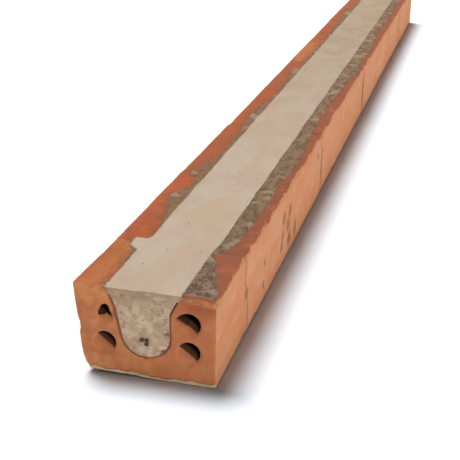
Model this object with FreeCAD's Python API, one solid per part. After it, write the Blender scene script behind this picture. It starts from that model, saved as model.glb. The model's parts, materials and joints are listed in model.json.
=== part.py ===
"""Prestressed brick lintel: butt-jointed U-shaped fired-clay shells around a concrete core.

Frame, in millimetres: X runs across the lintel, Y along it and Z up.  The origin is at the
middle of the underside.  The lintel lies on its underside, with the mouth of the shells and
the trowelled concrete facing up.
"""
import FreeCAD, Part
import math
import os

Vector = FreeCAD.Vector

# --- overall -----------------------------------------------------------------------------
LINTEL_LENGTH = 1800.0        # end face to end face
LINTEL_WIDTH = 120.0          # over the two clay walls, half a brick
SHELL_HEIGHT = 78.0           # underside to the top of the clay walls

# --- run of clay shells --------------------------------------------------------------------
SHELL_PITCH = 200.0           # one shell and its joint
JOINT_GAP = 1.0               # open butt joint between two shells
ARRIS_RADIUS = 1.5            # softened long edges of a shell

# --- channel in the shells, filled by the concrete -------------------------------------------
CHANNEL_FLOOR = 20.5          # clay under the lowest point of the channel
CHANNEL_RADIUS = 20.75        # half-round bottom of the channel
CHANNEL_DRAFT = 1.75          # each side leans out by this from the round bottom to the waist
CHANNEL_FLARE = 9.5           # each side flares out by this from the waist to the mouth
CHANNEL_FLARE_DEPTH = 16.0    # waist to mouth
WAIST_HALF_WIDTH = CHANNEL_RADIUS + CHANNEL_DRAFT
MOUTH_HALF_WIDTH = WAIST_HALF_WIDTH + CHANNEL_FLARE

# --- four lightening holes through every shell -------------------------------------------------
HOLE_DIAMETER = 19.0
HOLE_WEB = 4.5                # clay between the waist of the channel and a hole
HOLE_SPACING = 6.5            # clay between the lower and the upper hole
HOLE_PAIR_RISE = 2.75         # middle of the two holes above the middle of the wall

# --- concrete above the walls ------------------------------------------------------------------
BAND_HEIGHT = 2.0             # trowelled band above the wall tops
LIP_HEIGHT = 1.2              # overflow that lies on the wall tops
RIGHT_LIP_WIDTH = 16.0        # overflow past the edge of the band, +X side
LEFT_LIP_WIDTH = 11.0         # the same on the -X side

# --- prestressing wires, cast into the concrete --------------------------------------------------
WIRE_DIAMETER = 2.5
WIRE_SPACING = 4.0            # axis to axis in the cluster
UPPER_WIRE_HEIGHT = 36.0      # axis of the two upper wires
WIRE_CLUSTER_X = -1.5         # middle of the cluster


def end_to_end():
    """Y of the two end faces."""
    return -LINTEL_LENGTH / 2, LINTEL_LENGTH / 2


def extrude(face, start, end):
    """A face in the plane Y = 0, swept from Y = start to Y = end."""
    moved = face.translated(Vector(0, start, 0))
    return moved.extrude(Vector(0, end - start, 0))


def disc(x, z, diameter):
    """A round face in the plane Y = 0."""
    circle = Part.makeCircle(diameter / 2, Vector(x, 0, z), Vector(0, 1, 0))
    return Part.Face(Part.Wire([circle]))


def polyline(points):
    """Straight edges through points given as (x, z)."""
    corners = [Vector(x, 0, z) for x, z in points]
    return [Part.makeLine(a, b) for a, b in zip(corners, corners[1:])]


def channel_bottom():
    """The half-round bottom of the channel, from its left end to its right end."""
    spring = CHANNEL_FLOOR + CHANNEL_RADIUS
    left = Vector(-CHANNEL_RADIUS, 0, spring)
    right = Vector(CHANNEL_RADIUS, 0, spring)
    return Part.Arc(left, Vector(0, 0, CHANNEL_FLOOR), right).toShape()


def channel_outline(above):
    """The filled outline of the channel, closed by the edges through the points above."""
    spring = CHANNEL_FLOOR + CHANNEL_RADIUS
    waist = SHELL_HEIGHT - CHANNEL_FLARE_DEPTH
    right = [
        (CHANNEL_RADIUS, spring),
        (WAIST_HALF_WIDTH, waist),
        (MOUTH_HALF_WIDTH, SHELL_HEIGHT),
    ]
    left = [(-x, z) for x, z in reversed(right)]
    edges = [channel_bottom()] + polyline(right + above + left)
    return Part.Face(Part.Wire(edges))


def hole_places():
    """(x, z) of the four hole axes."""
    offset = WAIST_HALF_WIDTH + HOLE_WEB + HOLE_DIAMETER / 2
    middle = SHELL_HEIGHT / 2 + HOLE_PAIR_RISE
    half_pitch = (HOLE_DIAMETER + HOLE_SPACING) / 2
    heights = (middle - half_pitch, middle + half_pitch)
    return [(side * offset, z) for side in (-1, 1) for z in heights]


def shell_spans():
    """(start, end) in Y of each shell: whole ones, and a sawn one at each end."""
    low, high = end_to_end()
    whole = math.ceil(LINTEL_LENGTH / SHELL_PITCH) - 1
    joints = [(index - whole / 2) * SHELL_PITCH for index in range(whole + 1)]
    starts = [low] + [y + JOINT_GAP / 2 for y in joints]
    ends = [y - JOINT_GAP / 2 for y in joints] + [high]
    return list(zip(starts, ends))


def clay_shell(start, end):
    """One U-shaped shell with its four holes and softened long edges."""
    corner = Vector(-LINTEL_WIDTH / 2, start, 0)
    block = Part.makeBox(LINTEL_WIDTH, end - start, SHELL_HEIGHT, corner)
    arrises = [edge for edge in block.Edges if abs(edge.tangentAt(edge.FirstParameter).y) > 0.5]
    block = block.makeFillet(ARRIS_RADIUS, arrises)
    shell = block.cut(extrude(channel_outline([]), start, end))
    for x, z in hole_places():
        shell = shell.cut(extrude(disc(x, z, HOLE_DIAMETER), start, end))
    return shell.Solids[0]


def wire_places():
    """(x, z) of the wire axes: two side by side and one below them."""
    drop = WIRE_SPACING * math.sin(math.radians(60))
    half = WIRE_SPACING / 2
    return [
        (WIRE_CLUSTER_X - half, UPPER_WIRE_HEIGHT),
        (WIRE_CLUSTER_X + half, UPPER_WIRE_HEIGHT),
        (WIRE_CLUSTER_X + half, UPPER_WIRE_HEIGHT - drop),
    ]


def prestressing_wire(x, z):
    """One straight wire, cut off flush with the end faces."""
    return extrude(disc(x, z, WIRE_DIAMETER), *end_to_end())


def concrete_core():
    """The cast concrete: channel filling, trowelled band and overflow on the wall tops."""
    band = SHELL_HEIGHT + BAND_HEIGHT
    lip = SHELL_HEIGHT + LIP_HEIGHT
    right_edge = MOUTH_HALF_WIDTH + RIGHT_LIP_WIDTH
    left_edge = -MOUTH_HALF_WIDTH - LEFT_LIP_WIDTH
    above = [
        (right_edge, SHELL_HEIGHT),
        (right_edge, lip),
        (MOUTH_HALF_WIDTH, lip),
        (MOUTH_HALF_WIDTH, band),
        (-MOUTH_HALF_WIDTH, band),
        (-MOUTH_HALF_WIDTH, lip),
        (left_edge, lip),
        (left_edge, SHELL_HEIGHT),
    ]
    core = extrude(channel_outline(above), *end_to_end())
    for x, z in wire_places():
        core = core.cut(prestressing_wire(x, z))
    return core.Solids[0]


def save(shape, node):
    """Write one node after a look at its soundness."""
    assert shape.isValid(), node
    shape.exportStep("parts/" + node + ".step")


def main():
    os.makedirs("parts", exist_ok=True)
    for number, (start, end) in enumerate(shell_spans(), 1):
        save(clay_shell(start, end), f"clay_shell_{number:02d}")
    save(concrete_core(), "concrete_core")
    for number, (x, z) in enumerate(wire_places(), 1):
        save(prestressing_wire(x, z), f"prestressing_wire_{number}")


main()
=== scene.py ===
"""Looks of a prestressed brick lintel: fired-clay shells, trowelled concrete and cut wires.

Everything is in metres, in the frame of the part: X across the lintel, Y along it, Z up, and
the origin under its middle.  The end at low Y is called near, the one at high Y far.
"""

import json
import math

import bmesh
import bpy
import numpy as np
from mathutils import Matrix, Vector, noise


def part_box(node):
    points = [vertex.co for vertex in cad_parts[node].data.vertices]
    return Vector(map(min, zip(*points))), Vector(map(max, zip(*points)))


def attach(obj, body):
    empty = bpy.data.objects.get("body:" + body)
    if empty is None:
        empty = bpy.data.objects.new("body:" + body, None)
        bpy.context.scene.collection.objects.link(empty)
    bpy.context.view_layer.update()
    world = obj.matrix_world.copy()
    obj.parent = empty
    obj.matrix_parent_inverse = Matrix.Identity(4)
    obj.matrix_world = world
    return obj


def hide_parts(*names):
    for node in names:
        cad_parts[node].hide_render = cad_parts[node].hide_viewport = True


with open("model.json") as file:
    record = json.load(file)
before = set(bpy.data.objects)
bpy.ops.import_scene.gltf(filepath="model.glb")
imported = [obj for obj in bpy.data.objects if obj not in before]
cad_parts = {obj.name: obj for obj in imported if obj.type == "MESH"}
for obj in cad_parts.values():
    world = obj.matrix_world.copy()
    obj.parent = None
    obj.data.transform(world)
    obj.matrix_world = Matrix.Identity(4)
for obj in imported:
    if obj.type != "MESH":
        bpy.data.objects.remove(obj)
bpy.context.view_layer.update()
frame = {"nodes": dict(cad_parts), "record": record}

MM = 0.001
BODY = "root"

# --- what the frame says -------------------------------------------------------------------
SHELLS = sorted(name for name in frame["nodes"] if name.startswith("clay_shell"))
WIRES = sorted(name for name in frame["nodes"] if name.startswith("prestressing_wire"))
CORE = "concrete_core"
CORE_LOW, CORE_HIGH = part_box(CORE)
NEAR = CORE_LOW.y
FAR = CORE_HIGH.y
BAND_TOP = CORE_HIGH.z
CHANNEL_FLOOR = CORE_LOW.z
CLAY_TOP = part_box(SHELLS[0])[1].z
HALF_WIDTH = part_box(SHELLS[0])[1].x
NEAR_HOLES = [m for m in frame["record"]["mounts"] if m["kind"] == "bore" and m["axis"][1] < 0]
HOLE_RADIUS = NEAR_HOLES[0]["dims"]["r_mm"] * MM
HOLE_AXES = [(m["pos_m"][0], m["pos_m"][2]) for m in NEAR_HOLES]
PINCHED_HOLE = max(HOLE_AXES, key=lambda axis: axis[1] - 10 * axis[0])
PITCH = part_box(SHELLS[2])[0].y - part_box(SHELLS[1])[0].y

# --- section of the channel ------------------------------------------------------------------
CHANNEL_RADIUS = 20.75 * MM
SPRING_HEIGHT = CHANNEL_FLOOR + CHANNEL_RADIUS
WAIST_HALF_WIDTH = 22.5 * MM
WAIST_HEIGHT = 62 * MM
MOUTH_HALF_WIDTH = 32 * MM

OPEN_JOINTS = (4, 6, 8, 10)   # shells whose near joint shows as an open line
# how far the left side of the near end stands in from its drawn place, by height
LEFT_SIDE = [
    (0, 9), (4.5, 8), (7.6, 6.2), (14.6, 4.2), (23, 2.8), (38.7, 1.4), (44.6, 2.6), (51, 0.6),
    (62, -1.0), (76, -2.4),
]

# --- concrete on top of the walls --------------------------------------------------------------
BAND_LEFT = -34 * MM
BAND_RIGHT = 31.5 * MM
SHEET_LEFT = -54 * MM         # the cast sheet runs this far, and dips into the clay past the slop
SHEET_RIGHT = 58 * MM
SHEET_DIP = 3.0 * MM
# distance from the near end, and how far the slop reaches from the middle of the lintel
SLOP_RIGHT = [
    (0, 57), (22, 56), (45, 48), (62, 44), (80, 36), (92, 34), (108, 42), (150, 48), (185, 47),
    (255, 49), (290, 47), (325, 51), (386, 54), (430, 50), (535, 47), (595, 43), (695, 47),
    (800, 49), (856, 57), (944, 50), (1034, 54), (1128, 47), (1250, 43), (1400, 50), (1550, 46),
    (1700, 52), (1800, 47),
]
SLOP_LEFT = [
    (0, 41), (12, 41), (26, 37), (45, 38), (80, 40), (90, 46), (106, 47), (112, 34), (145, 34),
    (160, 38), (190, 44), (216, 50), (234, 49), (255, 39), (285, 40), (298, 51), (330, 45),
    (350, 40), (380, 38), (471, 41), (540, 45), (588, 44), (649, 38), (751, 38), (832, 44),
    (880, 37), (1002, 40), (1100, 38), (1240, 40), (1400, 45), (1560, 39), (1690, 44), (1800, 40),
]
# pale lumps on the slop: distance from the near end, x and radius
PALE_LUMPS = [
    (225, -46, 8), (298, -47, 7), (232, 36, 5), (266, 41, 6), (84, 33, 9), (560, 40, 8),
    (905, 42, 9),
]
# voids in the end face of the concrete: x, z, radius and depth
END_VOIDS = [
    (15, 27, 4.6, 2.8), (19, 43, 3.6, 2.4), (19, 37, 2.4, 2.0), (-16, 50, 1.1, 1.5), (-19, 74, 1.4, 1.5),
    (6, 73, 3.0, 0.9), (-9, 70, 2.2, 0.7),
]
WIRE_AXES = [((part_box(w)[0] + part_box(w)[1]) / 2).xz for w in WIRES]

# stains on the right side: distance from the near end, height, and half sizes along and up
SIDE_STAINS = [
    (105, 40, 3, 6), (108, 20, 1.5, 16), (173, 18, 2, 5), (178, 40, 2.5, 5), (260, 22, 4, 5),
    (265, 33, 4, 7), (268, 51, 5, 8), (293, 35, 5, 9), (298, 18, 5, 9), (301, 49, 5, 8),
    (331, 18, 4, 12), (475, 57, 3, 4), (505, 36, 3, 28), (905, 40, 5, 30),
]

# --- how finely each piece is meshed ---------------------------------------------------------------
NEAR_VOXEL = 1.15 * MM
SECOND_VOXEL = 1.8 * MM
MIDDLE_VOXEL = 2.6 * MM
LAST_VOXEL = 2.0 * MM


# =============================================================================================
# Numbers over points
# =============================================================================================
def smoothstep(low, high, value):
    """0 below low, 1 above high, smooth between; low may be above high."""
    t = np.clip((value - low) / (high - low), 0, 1)
    return t * t * (3 - 2 * t)


def field(points, size, seed, octaves=1):
    """Smooth random numbers of about -1 to 1 at the points, with features of that size."""
    total = np.zeros(len(points))
    for octave in range(octaves):
        places = points * (2**octave / np.array(size)) + (seed * 13.7 + octave * 5.3)
        total += np.array([noise.noise(place) for place in places.tolist()]) / 2**octave
    return 1.6 * total


def along(table, distance):
    """A value read from (distance from the near end in mm, value in mm) pairs, in metres."""
    places, values = np.array(table, float).T * MM
    return np.interp(distance, places, values)


def read(mesh, what="co"):
    """Positions or normals of a mesh's vertices as an array."""
    numbers = np.empty(len(mesh.vertices) * 3)
    mesh.vertices.foreach_get(what, numbers)
    return numbers.reshape(-1, 3)


def write(mesh, points):
    """Puts a mesh's vertices at the points."""
    mesh.vertices.foreach_set("co", points.ravel())
    mesh.update()


def paint(mesh, name, values):
    """Stores one number for each vertex, which the material reads by name."""
    attribute = mesh.attributes.new(name, "FLOAT", "POINT")
    attribute.data.foreach_set("value", np.clip(values, 0, 1).astype(np.float32))


def add_piece(name, mesh, material, slot, *nodes):
    """Links a finished mesh as a piece that stands for CAD nodes and moves with the lintel."""
    piece = bpy.data.objects.new(name, mesh)
    bpy.context.scene.collection.objects.link(piece)
    mesh.materials.clear()
    mesh.materials.append(material)
    mesh.shade_smooth()
    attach(piece, BODY)
    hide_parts(*nodes)
    return piece


# =============================================================================================
# Outline of the slop, shared by the concrete and the clay under it
# =============================================================================================
def slop_reach(points):
    """How far the ragged slop reaches to the left and to the right at each point."""
    distance = points[:, 1] - NEAR
    line = points * np.array((0, 1, 0))
    ragged = 1.6 * MM * field(line, 26 * MM, 31) + 1.5 * MM * field(line, 8 * MM, 32, 2)
    ragged_left = 1.6 * MM * field(line, 23 * MM, 33) + 1.3 * MM * field(line, 7 * MM, 34, 2)
    right = along(SLOP_RIGHT, distance) + ragged
    left = along(SLOP_LEFT, distance) + ragged_left
    return -np.maximum(left, -BAND_LEFT - 0.5 * MM), np.maximum(right, BAND_RIGHT + 1 * MM)


# =============================================================================================
# Bends shared by the clay and the concrete
# =============================================================================================
def near_fade(points, reach):
    """1 at the near end, falling to 0 at a distance from it."""
    return 1 - smoothstep(0, reach, points[:, 1] - NEAR)


def settle(points):
    """The left wall and what lies on it stand higher than the right; the near right corner sags."""
    x, y, z = points.T
    lift = 3.7 * MM * smoothstep(-26 * MM, -58 * MM, x) * smoothstep(45 * MM, 76 * MM, z)
    corner = smoothstep(44 * MM, 60 * MM, x) * smoothstep(62 * MM, 77 * MM, z)
    points[:, 2] += lift - 2.6 * MM * corner * near_fade(points, 36 * MM)


def channel_shift(points):
    """How far the walls of the channel stand off their drawn place at the near end."""
    heights = np.array((36, 46, 56, 64, 72, 78)) * MM
    left = np.interp(points[:, 2], heights, np.array((0, -1.0, -2.6, -2.8, -1.2, 0)) * MM)
    right = np.interp(points[:, 2], heights, np.array((0, -1.2, -2.2, -2.6, -3.2, -3.6)) * MM)
    return np.where(points[:, 0] > 0, right, left) * near_fade(points, 70 * MM)


# =============================================================================================
# Clay shells
# =============================================================================================
def clay_blank(node, voxel):
    """A copy of a CAD shell, remeshed into even faces about one voxel wide."""
    mesh = frame["nodes"][node].data.copy()
    bm = bmesh.new()
    bm.from_mesh(mesh)
    bmesh.ops.remove_doubles(bm, verts=bm.verts, dist=0.001 * MM)
    bm.to_mesh(mesh)
    bm.free()
    blank = bpy.data.objects.new("blank", mesh)
    bpy.context.scene.collection.objects.link(blank)
    modifier = blank.modifiers.new("even_faces", "REMESH")
    modifier.mode = "VOXEL"
    modifier.voxel_size = voxel
    evaluated = blank.evaluated_get(bpy.context.evaluated_depsgraph_get())
    even = bpy.data.meshes.new_from_object(evaluated)
    bpy.data.objects.remove(blank)
    return even


def channel_gap(points):
    """Distance across from a point in the clay to the wall of the channel at its height."""
    z = points[:, 2]
    drop = np.clip(SPRING_HEIGHT - z, 0, CHANNEL_RADIUS)
    heights = [SPRING_HEIGHT, WAIST_HEIGHT, CLAY_TOP]
    widths = [CHANNEL_RADIUS, WAIST_HALF_WIDTH, MOUTH_HALF_WIDTH]
    round_part = np.sqrt(CHANNEL_RADIUS**2 - drop**2)
    half_width = np.where(z < SPRING_HEIGHT, round_part, np.interp(z, heights, widths))
    below = CHANNEL_FLOOR - z
    return np.where(below > 0, np.hypot(below, points[:, 0]), abs(points[:, 0]) - half_width)


def round_off(first, second, radius):
    """Moves inward that turn a square corner into a round one, from the depths under its two faces."""
    u = np.clip(1 - first / radius, 0, 1)
    v = np.clip(1 - second / radius, 0, 1)
    return radius * (u - u * np.sqrt(1 - v**2 / 2)), radius * (v - v * np.sqrt(1 - u**2 / 2))


def half_close(points, axis, direction, chord):
    """Dragged clay that half closes a hole behind its rim, from one side up to a chord."""
    x, z = points[:, 0] - axis[0], points[:, 2] - axis[1]
    depth = points[:, 1] - NEAR
    reach = np.hypot(x, z)
    aim = np.array((math.cos(direction), math.sin(direction)))
    back = -(x * aim[0] + z * aim[1]) / np.maximum(reach, 1 * MM)
    push = np.clip(chord + HOLE_RADIUS * back, 0, None)
    around = 1 - smoothstep(HOLE_RADIUS + 0.3 * MM, HOLE_RADIUS + 3 * MM, reach)
    shelf = smoothstep(0.8 * MM, 4.6 * MM, depth) * smoothstep(34 * MM, 12 * MM, depth)
    points[:, 0] += aim[0] * push * around * shelf
    points[:, 2] += aim[1] * push * around * shelf


def narrow_hole(points, axis, depth_fade):
    """Pinches one hole's mouth into a small rounded triangle, as clay dragged over it leaves."""
    x, z = points[:, 0] - axis[0], points[:, 2] - axis[1]
    reach = np.hypot(x, z)
    angle = np.arctan2(z, x)
    triangle = 6.8 * MM + 0.75 * MM * np.cos(3 * (angle - math.pi / 2))
    pull = (1 - smoothstep(HOLE_RADIUS, HOLE_RADIUS + 6 * MM, reach)) * depth_fade
    closer = reach - pull * (HOLE_RADIUS - triangle)
    scale = closer / np.maximum(reach, 1 * MM)
    points[:, 0] = axis[0] + x * scale + 1.3 * MM * pull
    points[:, 2] = axis[1] + z * scale + 1.2 * MM * pull


def warp_near_shell(points):
    """The sawn end shell: uneven left side, lower left edge worn away and channel off its place."""
    x, y, z = points.T
    shift = channel_shift(points) * (1 - smoothstep(2 * MM, 13 * MM, abs(channel_gap(points))))
    for axis in HOLE_AXES:
        if axis != PINCHED_HOLE:
            half_close(points, axis, math.radians(52), 0.2 * MM if axis[0] < 0 else -2.2 * MM)
    half_close(points, PINCHED_HOLE, math.radians(96), -3.6 * MM)
    narrow_hole(points, PINCHED_HOLE, 1 - smoothstep(3 * MM, 13 * MM, y - NEAR))
    over_right = smoothstep(34 * MM, 39 * MM, x)
    inward, down = round_off(y - NEAR, CLAY_TOP - z, 4.5 * MM)
    points[:, 1] += inward * over_right
    points[:, 2] -= down * over_right
    side = smoothstep(-40 * MM, -59 * MM, x)
    points[:, 1] += 0.35 * MM * smoothstep(95 * MM, 99 * MM, y - NEAR)
    fading = 1 - 0.6 * smoothstep(20 * MM, 99 * MM, y - NEAR)
    points[:, 0] += shift + side * along(LEFT_SIDE, z) * fading
    lift = 1.8 * MM * smoothstep(20 * MM, -56 * MM, x) * near_fade(points, 90 * MM)
    points[:, 2] += lift * (1 - smoothstep(0, 18 * MM, z))


def warp_shell(points, number, low, high):
    """Sets a shell a little out of line with its neighbours, and closes its joint or leaves it open."""
    rng = np.random.default_rng(number)
    left_inset, right_inset, top_inset = rng.uniform((-2.2, -0.6, 0), (-0.8, 0.2, 0.4)) * MM
    turn = rng.uniform(-0.5, 0.5) * MM
    x, y, z = points.T
    share = (x + HALF_WIDTH) / (2 * HALF_WIDTH)
    swing = turn * (1 - share) * (y - (low.y + high.y) / 2) / (high.y - low.y)
    points[:, 0] += left_inset * (1 - share) - right_inset * share + swing
    points[:, 2] -= top_inset * smoothstep(50 * MM, CLAY_TOP, z)
    gap = 0.5 * MM if number in OPEN_JOINTS else -1.6 * MM
    points[:, 1] -= (0.5 * MM - gap) * (1 - smoothstep(0, 4 * MM, y - low.y))
    points[:, 1] += 0.35 * MM * (1 - smoothstep(0, 4 * MM, high.y - y))


def shell_relief(points, low, high, seed):
    """How far each point of a shell's surface sinks along its normal, and how chipped it is."""
    x, y, z = points.T
    from_end = np.minimum(y - low.y, high.y - y)
    gaps = np.stack([HALF_WIDTH - abs(x), np.minimum(z, CLAY_TOP - z), from_end], 1)
    gaps = np.sort(gaps, axis=1)
    arris = np.where(gaps[:, 0] < 1.2 * MM, gaps[:, 1], 1)
    bite = field(points, 14 * MM, seed) + 0.4 * field(points, 5 * MM, seed + 1) - 0.62
    chip = np.clip(bite, 0, 1) * (1 - smoothstep(0.5 * MM, 5 * MM, arris))
    wear = 0.2 * MM * (1 - smoothstep(0, 2.5 * MM, arris))
    waves = 0.3 * MM * (1 - field(points, 60 * MM, seed + 2))
    waves += 0.1 * MM * field(points, 13 * MM, seed + 3)
    side = smoothstep(HALF_WIDTH - 4 * MM, HALF_WIDTH - 3 * MM, abs(x))
    crease = 0.5 * MM * side * np.exp(-(((z - 41 * MM) / (1.5 * MM)) ** 2))
    rims = np.zeros(len(points))
    for axis_x, axis_z in HOLE_AXES:
        to_wall = np.hypot(x - axis_x, z - axis_z) - HOLE_RADIUS
        rims = np.maximum(rims, 1 - smoothstep(0, 2.8 * MM, np.hypot(to_wall, from_end)))
    wide = np.where(x < 0, 3.6 * MM, 2.2 * MM)
    mouth = 1 - smoothstep(0, wide, np.hypot(channel_gap(points), from_end))
    sink = waves + 2.4 * MM * chip + wear + crease + 1.0 * MM * rims + 1.4 * MM * mouth
    return sink, chip


def near_end_relief(points):
    """Marks of the near end only: how far they sink, the bevel over the right wall and the low strip."""
    x, y, z = points.T
    from_end = y - NEAR
    over_right = smoothstep(33 * MM, 39 * MM, x)
    bevel = (1 - smoothstep(2 * MM, 5.5 * MM, np.hypot(from_end, CLAY_TOP - z))) * over_right
    to_ring = np.hypot(x - PINCHED_HOLE[0], z - PINCHED_HOLE[1]) - HOLE_RADIUS - 0.6 * MM
    ring = np.exp(-((to_ring / (0.9 * MM)) ** 2)) * smoothstep(2 * MM, 0, from_end)
    edge = z - 3.6 * MM + 1.1 * MM * field(points, 9 * MM, 71) + 0.5 * MM * field(points, 4 * MM, 72)
    strip = smoothstep(0.9 * MM, -0.5 * MM, edge)
    return 0.35 * MM * ring + 0.9 * MM * strip * near_fade(points, 2 * MM), bevel, strip


def clay_shell(number, node, voxel):
    """One clay shell with its waves, chips, rounded hole rims and the marks its material reads."""
    low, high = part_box(node)
    mesh = clay_blank(node, voxel)
    true_points = read(mesh)
    points = true_points.copy()
    if number == 1:
        warp_near_shell(points)
    else:
        warp_shell(points, number, low, high)
    inward, down = round_off(HALF_WIDTH - abs(points[:, 0]), CLAY_TOP - points[:, 2], 3.5 * MM)
    right = points[:, 0] > 0
    points[:, 0] -= inward * right
    points[:, 2] -= down * right
    settle(points)
    write(mesh, points)
    sink, chip = shell_relief(true_points, low, high, number * 7)
    strip = np.zeros(len(points))
    if number == 1:
        extra, bevel, strip = near_end_relief(true_points)
        sink = sink + extra
        chip = np.maximum(chip, 0.3 * bevel)
    points -= read(mesh, "normal") * sink[:, None]
    write(mesh, points)
    reach_left, reach_right = slop_reach(true_points)
    x, y, z = true_points.T
    past = np.where(x > 0, x - reach_right, reach_left - x)
    to_channel = np.hypot(channel_gap(true_points), np.minimum(y - low.y, high.y - y))
    paint(mesh, "chipped", chip * 2.5)
    to_smear = np.hypot((y - NEAR - 104 * MM) / 9, (x - 48 * MM) / 6) / MM
    smeared = np.maximum(smoothstep(8 * MM, 0, past), 2 * smoothstep(1.2, 0.4, to_smear))
    paint(mesh, "smeared", smeared * smoothstep(74 * MM, 77 * MM, z))
    # partly a clay smear and partly painted shade: clay around the channel edge at the ends is darkened
    # like the shade in the groove between clay and concrete
    paint(mesh, "seam_smear_and_shade", 1 - smoothstep(0.5 * MM, np.where(x < 0, 4.6 * MM, 2.8 * MM), to_channel))
    paint(mesh, "strip", strip)
    # painted shade: clay deep inside the hole bores, away from the ends, is marked to be painted dark as
    # shade falls there
    bore = np.min([np.hypot(x - a[0], z - a[1]) for a in HOLE_AXES], axis=0) < HOLE_RADIUS + 0.5 * MM
    paint(mesh, "painted_hole_shade", smoothstep(2.5 * MM, 7 * MM, np.minimum(y - NEAR, FAR - y)) * bore)
    stained = np.zeros(len(points))
    for stain_y, stain_z, half_y, half_z in SIDE_STAINS:
        stain_along = (y - NEAR - stain_y * MM) / (2.4 * half_y)
        stain_up = (z - stain_z * MM) / (1.3 * half_z)
        to_stain = np.hypot(stain_along, stain_up) / MM
        stained = np.maximum(stained, 1 - smoothstep(0.2, 1.3, to_stain))
    paint(mesh, "stained", stained * (x > HALF_WIDTH - 6 * MM))
    return add_piece(f"fired_{node}", mesh, clay_material(number), "fired_clay", node)


# =============================================================================================
# Concrete
# =============================================================================================
def concrete_outline():
    """Points of the concrete's section, as (x, z), from the left end of its top round below."""
    steps = 12
    turns = [math.pi * k / steps for k in range(steps + 1)]
    bottom = [
        (-CHANNEL_RADIUS * math.cos(t), SPRING_HEIGHT - CHANNEL_RADIUS * math.sin(t)) for t in turns
    ]
    underside = CLAY_TOP - 4.2 * MM
    flare = (MOUTH_HALF_WIDTH - WAIST_HALF_WIDTH) * (underside - WAIST_HEIGHT)
    flare /= CLAY_TOP - WAIST_HEIGHT
    wall = [(WAIST_HALF_WIDTH, WAIST_HEIGHT), (WAIST_HALF_WIDTH + flare, underside)]
    left = [(SHEET_LEFT, BAND_TOP), (SHEET_LEFT, underside)] + [(-x, z) for x, z in reversed(wall)]
    right = wall + [(SHEET_RIGHT, underside), (SHEET_RIGHT, BAND_TOP)]
    edges = [(BAND_RIGHT + 0.5 * MM, BAND_TOP), (BAND_RIGHT, BAND_TOP)]
    edges += [(BAND_LEFT, BAND_TOP), (BAND_LEFT - 0.5 * MM, BAND_TOP)]
    return left + bottom + right + edges


def net(bm, faces, cuts):
    """Cuts flat faces into small ones with planes, given as (point, normal)."""
    geometry = list({item for face in faces for item in (face, *face.edges, *face.verts)})
    for place, normal in cuts:
        made = bmesh.ops.bisect_plane(bm, geom=geometry, plane_co=place, plane_no=normal, dist=0.01 * MM)
        geometry = made["geom"]


def concrete_blank():
    """A straight casting with a fine net of faces on its top and its two end faces."""
    bm = bmesh.new()
    section = bm.faces.new([bm.verts.new((x, NEAR, z)) for x, z in concrete_outline()])
    column = 1.7 * MM
    for edge in list(bm.edges):
        long_top = edge.calc_length() > 2 * column and min(v.co.z for v in edge.verts) > CLAY_TOP
        if long_top:
            bmesh.ops.subdivide_edges(bm, edges=[edge], cuts=round(edge.calc_length() / column) - 1)
    grown = bmesh.ops.extrude_face_region(bm, geom=[section])["geom"]
    far_rim = [item for item in grown if isinstance(item, bmesh.types.BMVert)]
    bmesh.ops.translate(bm, vec=(0, FAR - NEAR, 0), verts=far_rim)
    long_edges = [edge for edge in bm.edges if edge.calc_length() > (FAR - NEAR) / 2]
    bmesh.ops.subdivide_edges(bm, edges=long_edges, cuts=880, use_grid_fill=True)
    step = 1.4 * MM
    cuts = [((x, 0, 0), (1, 0, 0)) for x in np.arange(step - MOUTH_HALF_WIDTH, MOUTH_HALF_WIDTH, step)]
    cuts += [((0, 0, z), (0, 0, 1)) for z in np.arange(CHANNEL_FLOOR + step, BAND_TOP - step, step)]
    for end in (NEAR, FAR):
        cap = [face for face in bm.faces if all(abs(v.co.y - end) < 0.01 * MM for v in face.verts)]
        net(bm, cap, cuts)
    bmesh.ops.recalc_face_normals(bm, faces=bm.faces)
    mesh = bpy.data.meshes.new("casting")
    bm.to_mesh(mesh)
    bm.free()
    return mesh


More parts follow.
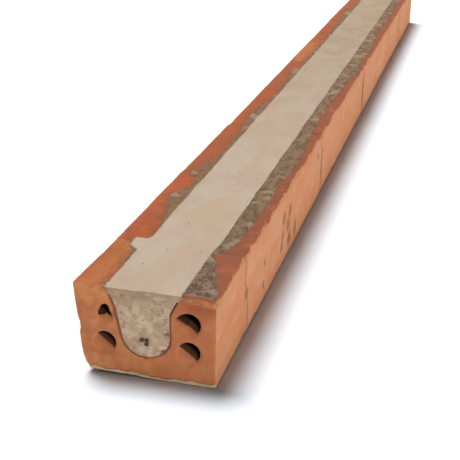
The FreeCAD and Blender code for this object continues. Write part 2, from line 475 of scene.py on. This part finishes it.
def concrete_top(points, distance):
    """Height of the concrete's top over X and Y, and how much of it is slop, grit and lumps."""
    x = points[:, 0]
    flat = points * np.array((1, 1, 0))
    line = points * np.array((0, 1, 0))
    patch = smoothstep(80 * MM, 90 * MM, distance) * smoothstep(109 * MM, 106 * MM, distance) * 10 * MM
    band_left = BAND_LEFT - 2 * MM * smoothstep(100 * MM, 70 * MM, distance) - patch
    past_left = smoothstep(0, 0.5 * MM, band_left + 0.5 * MM - x)
    slop = np.maximum(past_left, smoothstep(0, 0.5 * MM, x - BAND_RIGHT))
    reach_left, reach_right = slop_reach(points)
    inside = np.where(x > 0, reach_right - x, x - reach_left)
    ragged = 1.5 * MM * field(points * np.array((1, 0, 0)), 6 * MM, 48)
    front = distance - np.where(x > 0, 4.5 * MM, 1.5 * MM) - ragged
    inside = np.where(abs(x) > MOUTH_HALF_WIDTH, np.minimum(inside, front), inside)
    trowelled = BAND_TOP - 0.25 * MM + 0.18 * MM * field(flat, (30 * MM, 90 * MM, MM), 43)
    trowelled += 0.05 * MM * field(flat, (4 * MM, 16 * MM, MM), 44)
    grit = smoothstep(220 * MM, 60 * MM, distance)
    lumps = np.clip(field(flat, 19 * MM, 45) - 0.2, 0, 1)
    for place_y, place_x, radius in PALE_LUMPS:
        to_lump = np.hypot(x - place_x * MM, distance - place_y * MM) / (radius * MM)
        lumps = np.maximum(lumps, 1 - smoothstep(0.4, 1, to_lump))
    grains = field(flat, (6.5 * MM, 13 * MM, MM), 46, 2)
    rough = CLAY_TOP + 0.75 * MM + (0.45 + 0.3 * grit) * MM * grains + 1.0 * MM * lumps
    rough += grit * 0.2 * MM * field(flat, 2.6 * MM, 47)
    rough = np.clip(rough, CLAY_TOP - 0.5 * MM, BAND_TOP - 0.1 * MM)
    rising = smoothstep(-1.2 * MM, 1.4 * MM, inside)
    rough = CLAY_TOP - SHEET_DIP + (rough - CLAY_TOP + SHEET_DIP) * rising
    height = trowelled + (rough - trowelled) * slop
    wander = 0.6 * MM * field(line, 45 * MM, 41) + 0.4 * MM * field(line, 11 * MM, 42)
    wander -= np.where(x > 0, 2.2 * MM * smoothstep(130 * MM, 70 * MM, distance), 0)
    return height, slop, grit, lumps, wander


def concrete_end(points):
    """How far the rough ends sink in from the plane of the clay, with voids and wire pits."""
    x, z = points[:, 0], points[:, 2]
    rough = 0.9 + 0.45 * field(points, 8 * MM, 51) + 0.3 * field(points, 3 * MM, 52)
    for void_x, void_z, radius, depth in END_VOIDS:
        near_void = np.hypot(x - void_x * MM, (z - void_z * MM) * 1.6) / (radius * MM)
        rough = rough + depth * (1 - smoothstep(0.3, 1, near_void))
    for axis in WIRE_AXES:
        near_wire = np.hypot(x - axis[0], z - axis[1])
        rough = rough + 0.7 * (1 - smoothstep(1.2 * MM, 2.6 * MM, near_wire))
    return np.clip(rough, 0.1, 4.5) * MM


def concrete():
    """The casting: trowelled band, ragged slop on the wall tops and rough ends."""
    mesh = concrete_blank()
    points = read(mesh)
    share = (points[:, 1] - NEAR) / (FAR - NEAR)
    on_near_end, on_far_end = share < 1e-6, share > 1 - 1e-6
    points[:, 1] = NEAR + (FAR - NEAR) * (0.62 * share + 0.38 * share**2)
    height, slop, grit, lumps, wander = concrete_top(points, points[:, 1] - NEAR)
    upper = smoothstep(CLAY_TOP - 3 * MM, BAND_TOP, points[:, 2])
    on_top = points[:, 2] > CLAY_TOP - 2 * MM
    to_edge = np.minimum(abs(points[:, 0] - BAND_LEFT), abs(points[:, 0] - BAND_RIGHT))
    near_edge = 1 - smoothstep(0, 9 * MM, to_edge)
    to_wire = np.min([np.hypot(points[:, 0] - a[0], points[:, 2] - a[1]) for a in WIRE_AXES], axis=0)
    end_sink = concrete_end(points)
    below = channel_shift(points) * smoothstep(4 * MM, 19 * MM, abs(points[:, 0]))
    points[:, 0] += np.where(on_top, wander * near_edge, below)
    points[:, 2] += np.where(on_top, (height - BAND_TOP) * upper, 0)
    from_mouth = np.where(points[:, 0] > 0, points[:, 0] - 29.6 * MM, -points[:, 0] - 33 * MM)
    over_wall = 5 * MM * smoothstep(0, 2 * MM, from_mouth)
    from_near, from_far = points[:, 1] - NEAR, FAR - points[:, 1]
    points[:, 1] += np.where(on_near_end, end_sink, 0) + over_wall * smoothstep(16 * MM, 0, from_near)
    points[:, 1] -= np.where(on_far_end, end_sink, 0) + over_wall * smoothstep(16 * MM, 0, from_far)
    settle(points)
    points[:, 2] = np.minimum(points[:, 2], BAND_TOP + 2.2 * MM)
    write(mesh, points)
    paint(mesh, "slop", np.where(on_top, slop, 0))
    paint(mesh, "grit", grit)
    paint(mesh, "lump", lumps * 1.6 * slop)
    paint(mesh, "rust", 1 - smoothstep(1.4 * MM, 3 * MM, to_wire))
    # painted shade: the deepest voids of the rough ends and the pits around the wires are marked to be
    # painted dark
    paint(mesh, "painted_pit_shade", smoothstep(1.6 * MM, 3.2 * MM, end_sink) * (on_near_end | on_far_end))
    return add_piece("cast_concrete", mesh, concrete_material(), "concrete", CORE)


# =============================================================================================
# Materials
# =============================================================================================
class Link:
    """An output of a node. Sums and products with numbers or other outputs add Math nodes."""

    def __init__(self, tree, output):
        self.tree = tree
        self.output = output

    def math(self, operation, first, second):
        settings = {"operation": operation}
        return self.tree.node("ShaderNodeMath", settings, {0: first, 1: second})

    def __add__(self, other):
        return self.math("ADD", self, other)

    def __sub__(self, other):
        return self.math("SUBTRACT", self, other)

    def __mul__(self, other):
        return self.math("MULTIPLY", self, other)

    def __truediv__(self, other):
        return self.math("DIVIDE", self, other)

    def __rsub__(self, other):
        return self.math("SUBTRACT", other, self)

    __radd__ = __add__
    __rmul__ = __mul__

    def rounded(self):
        return self.math("ROUND", self, 0)

    def size(self):
        return self.math("ABSOLUTE", self, 0)

    def rise(self, low, high):
        """0 below low and 1 above high, smooth between; low may be above high."""
        start, end = (1, 0) if low > high else (0, 1)
        inputs = {0: self, 1: min(low, high), 2: max(low, high), 3: start, 4: end}
        return self.tree.node("ShaderNodeMapRange", {"interpolation_type": "SMOOTHSTEP"}, inputs)


def colour(red, green, blue):
    """A colour written as it looks on a screen, 0 to 255, as the linear one that nodes take."""
    def linear(part):
        part /= 255
        return part / 12.92 if part <= 0.04045 else ((part + 0.055) / 1.055) ** 2.4
    return (linear(red), linear(green), linear(blue), 1)


class Tree:
    """The nodes of a material or of the sky."""

    def __init__(self, owner):
        owner.use_nodes = True
        self.nodes = owner.node_tree.nodes
        self.links = owner.node_tree.links

    def node(self, kind, settings=None, inputs=None, output=0):
        """Adds a node: its settings first, then its sockets, and gives one of its outputs."""
        made = self.nodes.new(kind)
        for name, value in (settings or {}).items():
            setattr(made, name, value)
        for name, value in (inputs or {}).items():
            self.feed(made.inputs[name], value)
        return Link(self, made.outputs[output])

    def feed(self, socket, value):
        """Links an output to a socket, or sets the socket to a plain value."""
        if isinstance(value, Link):
            self.links.new(value.output, socket)
        else:
            socket.default_value = value


class Shader(Tree):
    """A material under construction, with one Principled surface."""

    def __init__(self, name):
        self.material = bpy.data.materials.new(name)
        super().__init__(self.material)
        self.surface = self.nodes["Principled BSDF"]
        self.place = self.node("ShaderNodeTexCoord", output="Object")

    def attribute(self, name):
        """A number that the mesh carries."""
        return self.node("ShaderNodeAttribute", {"attribute_name": name}, output="Fac")

    def mapped(self, size, seed):
        """The place in units of a feature size, which may differ along X, Y and Z."""
        sizes = size if isinstance(size, tuple) else (size, size, size)
        scale = tuple(1 / (part * MM) for part in sizes)
        shift = (seed * 3.1, seed * 1.7, seed * 2.3)
        inputs = {"Vector": self.place, "Location": shift, "Scale": scale}
        return self.node("ShaderNodeMapping", {}, inputs)

    def noise(self, size, seed, detail=2.0, roughness=0.5):
        """Cloudy numbers around 0.5, with features of a size in millimetres."""
        inputs = {"Vector": self.mapped(size, seed), "Scale": 1.0}
        inputs |= {"Detail": detail, "Roughness": roughness}
        return self.node("ShaderNodeTexNoise", {}, inputs)

    def cells(self, size, seed, output="Distance"):
        """Cells of a size in millimetres: the distance to their middle, or a colour for each."""
        inputs = {"Vector": self.mapped(size, seed), "Scale": 1.0}
        return self.node("ShaderNodeTexVoronoi", {}, inputs, output=output)

    def shade(self, size, seed):
        """One random number for each cell."""
        return self.node("ShaderNodeSeparateColor", {}, {0: self.cells(size, seed, "Color")})

    def axis(self, vector, name):
        """One coordinate of a vector."""
        return self.node("ShaderNodeSeparateXYZ", {}, {0: vector}, output=name)

    def facing(self, name, low, high):
        """How much the surface faces along an axis, either way."""
        normal = self.node("ShaderNodeNewGeometry", output="Normal")
        return self.axis(normal, name).size().rise(low, high)

    def mix(self, factor, first, second, blend="MIX"):
        """Two colours mixed by a factor."""
        settings = {"data_type": "RGBA", "blend_type": blend}
        return self.node("ShaderNodeMix", settings, {0: factor, 6: first, 7: second}, output=2)

    def tint(self, base, brightness):
        """A colour made brighter or darker by a number around 1."""
        grey = self.node("ShaderNodeCombineColor", {}, {0: brightness, 1: brightness, 2: brightness})
        return self.mix(1.0, base, grey, "MULTIPLY")

    def finish(self, base, roughness, height, bump_distance):
        """Feeds the surface and gives the finished material."""
        bump = {"Height": height, "Distance": bump_distance * MM, "Strength": 1.0}
        self.feed(self.surface.inputs["Base Color"], base)
        self.feed(self.surface.inputs["Roughness"], roughness)
        self.feed(self.surface.inputs["Normal"], self.node("ShaderNodeBump", {}, bump))
        return self.material


SKIN_TONES = [(205, 138, 94), (208, 144, 100), (202, 138, 92), (207, 140, 94), (203, 136, 88)]
TOP_TONES = [(201, 119, 64), (190, 94, 44), (184, 96, 48), (188, 94, 44), (180, 98, 48)]


def clay_material(number):
    """Fired clay: pale fine skin on the sides, redder wall tops and brown sawn ends darkened partly as
    painted shade, with painted shade deep in the holes and partly along the seam.
    """
    shader = Shader(f"fired_clay_{number:02d}")
    skin_tone = SKIN_TONES[(number - 1) % len(SKIN_TONES)]
    top_tone = TOP_TONES[(number - 1) % len(TOP_TONES)]
    along_y = shader.axis(shader.place, "Y")
    across = shader.axis(shader.place, "X")
    blotch = shader.noise((34, 80, 30), number, 3)
    mottle = shader.noise(8, number + 20, 4, 0.6)
    patches = shader.noise((16, 26, 14), number + 30, 2)
    grain = shader.noise(1.1, number + 40, 2)
    drag = shader.noise((4, 110, 4), number + 60, 3)
    speck = shader.cells(6, number).rise(0.16, 0.08) * shader.shade(6, number).rise(0.55, 0.6)

    skin = shader.mix(blotch.rise(0.35, 0.65), colour(*skin_tone), colour(207, 130, 80))
    skin = shader.mix(patches.rise(0.5, 0.7) * 0.5, skin, colour(216, 152, 116))
    skin = shader.mix(drag.rise(0.5, 0.75) * 0.45, skin, colour(190, 116, 70))
    top = shader.mix(blotch.rise(0.4, 0.6) * 0.6, colour(*top_tone), colour(170, 84, 48))
    right_wall = across.rise(0, 20 * MM)
    top = shader.mix(right_wall * 0.8, top, colour(150, 80, 52))
    top = shader.mix(patches.rise(0.55, 0.7) * 0.5, top, colour(196, 104, 68))
    top = shader.mix(mottle.rise(0.55, 0.75) * 0.3, top, colour(204, 134, 84))
    # sawn ends: their own browner colour, and partly painted shade because the ends get less light than
    # the sides
    sawn_and_shaded_end = shader.mix(mottle.rise(0.35, 0.65), colour(186, 116, 66), colour(200, 130, 80))
    sawn_and_shaded_end = shader.mix(blotch.rise(0.4, 0.65) * 0.7, sawn_and_shaded_end, colour(160, 90, 50))
    sawn_and_shaded_end = shader.mix(patches.rise(0.5, 0.68) * 0.4, sawn_and_shaded_end, colour(190, 118, 76))
    sawn_and_shaded_end = shader.mix(across.rise(-44 * MM, 40 * MM) * 0.5, sawn_and_shaded_end, colour(184, 104, 66))
    upper_right = across.rise(18 * MM, 40 * MM) * shader.axis(shader.place, "Z").rise(52 * MM, 74 * MM)
    sawn_and_shaded_end = shader.mix(upper_right * 0.75, sawn_and_shaded_end, colour(142, 70, 40))
    over_edge = HALF_WIDTH - CLAY_TOP + shader.axis(shader.place, "Z") - across.size()
    wander = (shader.noise((26, 30, 26), 70, 3, 0.6) - 0.5) * (15 * MM)
    side = (wander - over_edge).rise(-1 * MM, 1 * MM)
    base = shader.mix(side, top, skin)
    # faces along Y take the sawn colour with its painted shade
    base = shader.mix(shader.facing("Y", 0.55, 0.85), base, sawn_and_shaded_end)

    chipped = shader.attribute("chipped")
    base = shader.mix(chipped.rise(0.1, 0.8) * 0.6, base, colour(204, 124, 78))
    joint = (along_y / PITCH).rounded()
    to_joint = ((along_y / PITCH) - joint).size() * PITCH
    marked = shader.noise((600, 600, 600), 12, 0).rise(0.45, 0.6)
    joint_line = to_joint.rise(3.4 * MM, 1.0 * MM) * mottle.rise(0.36, 0.62) * (marked * 0.75 + 0.1)
    base = shader.mix(joint_line * (side * 0.55 + 0.2), base, colour(120, 70, 40))
    stain = shader.noise((9, 16, 9), 5, 2).rise(0.56, 0.68) * to_joint.rise(52 * MM, 26 * MM)
    stain = stain * shader.noise((900, 260, 900), 14, 0).rise(0.5, 0.6) * side
    base = shader.mix(stain * 0.4, base, colour(146, 98, 56))
    spot = shader.attribute("stained") * (shader.noise((5, 12, 7), 17, 3, 0.6) * 1.2 + 0.35)
    base = shader.mix(spot.rise(0.12, 0.9) * 0.75, base, colour(128, 86, 48))
    # seam colour: clay smear plus painted shade of the groove between clay and concrete
    seam_smear_and_shade = shader.attribute("seam_smear_and_shade").rise(0.2, 0.9)
    base = shader.mix(seam_smear_and_shade * 0.75, base, colour(112, 62, 36))
    smear = shader.attribute("smeared") * shader.noise((6, 10, 6), 3, 3, 0.6).rise(0.4, 0.62)
    base = shader.mix(smear.rise(0.1, 0.6) * 0.5, base, colour(134, 92, 58))
    strip = shader.attribute("strip")
    on_end = shader.facing("Y", 0.3, 0.6)
    base = shader.mix(strip.rise(0.02, 0.3) * on_end * 0.7, base, colour(116, 62, 36))
    base = shader.mix(strip.rise(0.45, 0.75) * on_end, base, colour(206, 176, 138))
    # painted shade deep inside the holes
    base = shader.mix(shader.attribute("painted_hole_shade") * 0.85, base, colour(44, 22, 14))
    base = shader.mix(speck * 0.5, base, colour(112, 62, 40))
    tone = 0.82 + grain * 0.14 + drag * 0.1 + mottle * 0.12
    relief = grain * 0.35 + drag * 0.5 + mottle * 0.7
    return shader.finish(shader.tint(base, tone), 0.84 + grain * 0.14, relief, 0.4)


def concrete_material():
    """Concrete: pale trowelled band, dark gritty slop at its edges and stony broken ends, with painted
    shade in small pits and deep voids.
    """
    shader = Shader("cast_concrete")
    along_y = shader.axis(shader.place, "Y")
    cloud = shader.noise((30, 60, 30), 2, 3)
    patches = shader.noise((24, 40, 24), 21, 2)
    mottle = shader.noise(9, 4, 4, 0.6)
    sand = shader.noise(1.0, 6, 2)
    sweep = shader.noise((2.2, 60, 2.2), 7, 3)
    grains = shader.shade(2.1, 3)
    clots = shader.noise((6, 17, 6), 15, 3, 0.6)
    across = shader.axis(shader.place, "X")
    stones = shader.shade(8.5, 5)
    stone_edge = shader.cells(8.5, 5).rise(0.5, 0.2)
    grit = shader.attribute("grit")

    near_band = shader.mix(cloud.rise(0.38, 0.62), colour(213, 190, 166), colour(210, 181, 154))
    far_band = shader.mix(cloud.rise(0.38, 0.62), colour(196, 171, 143), colour(188, 160, 130))
    band = shader.mix(along_y.rise(-0.75, 0.35), near_band, far_band)
    band = shader.mix(patches.rise(0.52, 0.68) * 0.5, band, colour(204, 174, 156))
    band = shader.mix(mottle.rise(0.56, 0.75) * 0.4, band, colour(210, 194, 170))
    # painted shade: small dark spots on the band stand for the shade in small pits that are not modelled
    painted_pit_shade = shader.cells((10, 16, 10), 9).rise(0.15, 0.06) * shader.shade((10, 16, 10), 9).rise(0.62, 0.66)
    band = shader.mix(painted_pit_shade * 0.65, band, colour(140, 112, 92))

    smooth_slop = shader.mix(clots.rise(0.35, 0.62), colour(116, 86, 58), colour(156, 121, 86))
    gritty = shader.mix(clots.rise(0.38, 0.6), colour(100, 75, 57), colour(140, 111, 87))
    gritty = shader.mix(grains.rise(0.78, 0.94) * 0.6, gritty, colour(176, 147, 118))
    gritty = shader.mix(grains.rise(0.3, 0.12) * 0.6, gritty, colour(72, 54, 42))
    slop = shader.mix(grit * 0.6 + 0.38, smooth_slop, gritty)
    slop = shader.mix(across.rise(0, -20 * MM) * 0.5, slop, colour(142, 104, 70))
    slop = shader.mix(shader.attribute("lump").rise(0.3, 1.0) * 0.7, slop, colour(176, 154, 122))

    broken = shader.mix(clots.rise(0.35, 0.65), colour(170, 140, 114), colour(200, 170, 142))
    broken = shader.mix(patches.rise(0.45, 0.65) * 0.5, broken, colour(150, 122, 94))
    upper = shader.axis(shader.place, "Z").rise(58 * MM, 76 * MM)
    broken = shader.mix(upper * 0.6, broken, colour(150, 120, 90))
    pebble = stones.rise(0.66, 0.74) * stone_edge
    broken = shader.mix(pebble * 0.4, broken, colour(200, 174, 144))
    broken = shader.mix(grains.rise(0.93, 0.99) * 0.35, broken, colour(214, 190, 158))
    broken = shader.mix(grains.rise(0.1, 0.02) * 0.45, broken, colour(122, 98, 74))
    # painted shade in the deep voids of the broken ends
    broken = shader.mix(shader.attribute("painted_pit_shade") * 0.8, broken, colour(92, 68, 44))
    broken = shader.mix(shader.attribute("rust").rise(0.1, 0.8) * 0.8, broken, colour(92, 66, 42))

    slopped = shader.attribute("slop")
    base = shader.mix(slopped, band, slop)
    base = shader.mix(shader.facing("Y", 0.45, 0.7), base, broken)
    tone = 0.84 + sand * 0.14 + sweep * 0.08 + mottle * 0.12
    relief = sand * 0.4 + sweep * 0.2 + slopped * grains * (grit * 0.3 + 0.35) + slopped * clots * 1.5
    return shader.finish(shader.tint(base, tone), 0.86 + sand * 0.12, relief, 0.5)


def wire_material():
    """Cut prestressing wire, brown with rust."""
    shader = Shader("cut_wire")
    rust = shader.noise(1.2, 2, 3)
    base = shader.mix(rust.rise(0.35, 0.65), colour(56, 42, 30), colour(88, 66, 44))
    shader.feed(shader.surface.inputs["Metallic"], 0.3)
    return shader.finish(base, 0.6 + rust * 0.3, rust, 0.2)


# =============================================================================================
# Floor, light and camera
# =============================================================================================
def floor():
    """A plain white floor that keeps the soft shadow."""
    bm = bmesh.new()
    bmesh.ops.create_grid(bm, x_segments=1, y_segments=1, size=12)
    bmesh.ops.translate(bm, vec=(0, 0, -0.2 * MM), verts=bm.verts)
    mesh = bpy.data.meshes.new("floor")
    bm.to_mesh(mesh)
    bm.free()
    shader = Shader("white_floor")
    shader.feed(shader.surface.inputs["Base Color"], (0.86, 0.9, 0.95, 1))
    shader.feed(shader.surface.inputs["Roughness"], 1.0)
    shader.feed(shader.surface.inputs["Specular IOR Level"], 0.0)
    mesh.materials.append(shader.material)
    plane = bpy.data.objects.new("floor", mesh)
    bpy.context.scene.collection.objects.link(plane)
    return plane


def sun(name, direction, strength, angle, receivers):
    """A soft distant light that comes from a direction and falls on some of the objects."""
    light = bpy.data.lights.new(name, "SUN")
    light.energy = strength
    light.angle = math.radians(angle)
    lamp = bpy.data.objects.new(name, light)
    lamp.rotation_euler = Vector(direction).to_track_quat("Z", "Y").to_euler()
    lamp.light_linking.receiver_collection = receivers
    bpy.context.scene.collection.objects.link(lamp)


def group(name, plane, state):
    """A set of receivers: the floor alone, or all but the floor."""
    receivers = bpy.data.collections.new(name)
    receivers.objects.link(plane)
    receivers.collection_objects[0].light_linking.link_state = state
    return receivers


def lights(plane):
    """Soft lamps on the lintel from four sides, and one more that throws its shadow."""
    on_floor = group("floor_alone", plane, "INCLUDE")
    on_lintel = group("all_but_the_floor", plane, "EXCLUDE")
    sun("shadow", (-0.30, 0.26, 0.92), 3.9, 27, on_floor)
    sun("key", (-0.35, 0.20, 0.90), 1.12, 30, on_lintel)
    sun("front", (0.42, -0.72, 0.50), 1.38, 9, on_lintel)
    sun("right", (0.88, -0.10, 0.30), 0.66, 50, on_lintel)
    sun("back", (-0.70, 0.60, 0.35), 0.8, 60, on_lintel)


def sky():
    """An even sky: dim and bluish as it lights the lintel, plain white where it is seen."""
    world = bpy.data.worlds.new("sky")
    tree = Tree(world)
    seen = tree.node("ShaderNodeLightPath", output="Is Camera Ray")
    for ray in ("Is Glossy Ray", "Is Transmission Ray"):
        seen = seen.math("MAXIMUM", seen, tree.node("ShaderNodeLightPath", output=ray))
    levels = {"Value": seen, "To Min": 0.13, "To Max": 1.0}
    tones = {0: seen, 6: (0.72, 0.9, 1, 1), 7: (1, 1, 1, 1)}
    sockets = tree.nodes["Background"].inputs
    tree.feed(sockets["Strength"], tree.node("ShaderNodeMapRange", {}, levels))
    tree.feed(sockets["Color"], tree.node("ShaderNodeMix", {"data_type": "RGBA"}, tones, output=2))
    bpy.context.scene.world = world


def camera():
    """Looks along the lintel from above its near right corner."""
    azimuth, elevation, roll = (math.radians(a) for a in (14.1, 21.7, 1.04))
    place = Vector((0.2424, NEAR - 0.6881, 0.4242))
    back = Vector((math.sin(azimuth) * math.cos(elevation), -math.cos(azimuth) * math.cos(elevation),
                   math.sin(elevation)))
    right = (-back).cross(Vector((0, 0, 1))).normalized()
    up = right.cross(-back)
    turned_right = right * math.cos(roll) + up * math.sin(roll)
    turned_up = up * math.cos(roll) - right * math.sin(roll)
    data = bpy.data.cameras.new("camera")
    data.sensor_width = 36
    data.lens = 78.26
    data.clip_start = 0.01
    eye = bpy.data.objects.new("camera", data)
    turn = Matrix((turned_right, turned_up, back)).transposed()
    eye.matrix_world = Matrix.Translation(place) @ turn.to_4x4()
    bpy.context.scene.collection.objects.link(eye)
    bpy.context.scene.camera = eye


camera()
lights(floor())
sky()
for number, node in enumerate(SHELLS, 1):
    voxels = {1: NEAR_VOXEL, 2: SECOND_VOXEL, len(SHELLS): LAST_VOXEL}
    clay_shell(number, node, voxels.get(number, MIDDLE_VOXEL))
concrete()
rusty = wire_material()
for wire in WIRES:
    frame["nodes"][wire].data.materials.clear()
    frame["nodes"][wire].data.materials.append(rusty)
bpy.context.scene.view_settings.view_transform = "Standard"
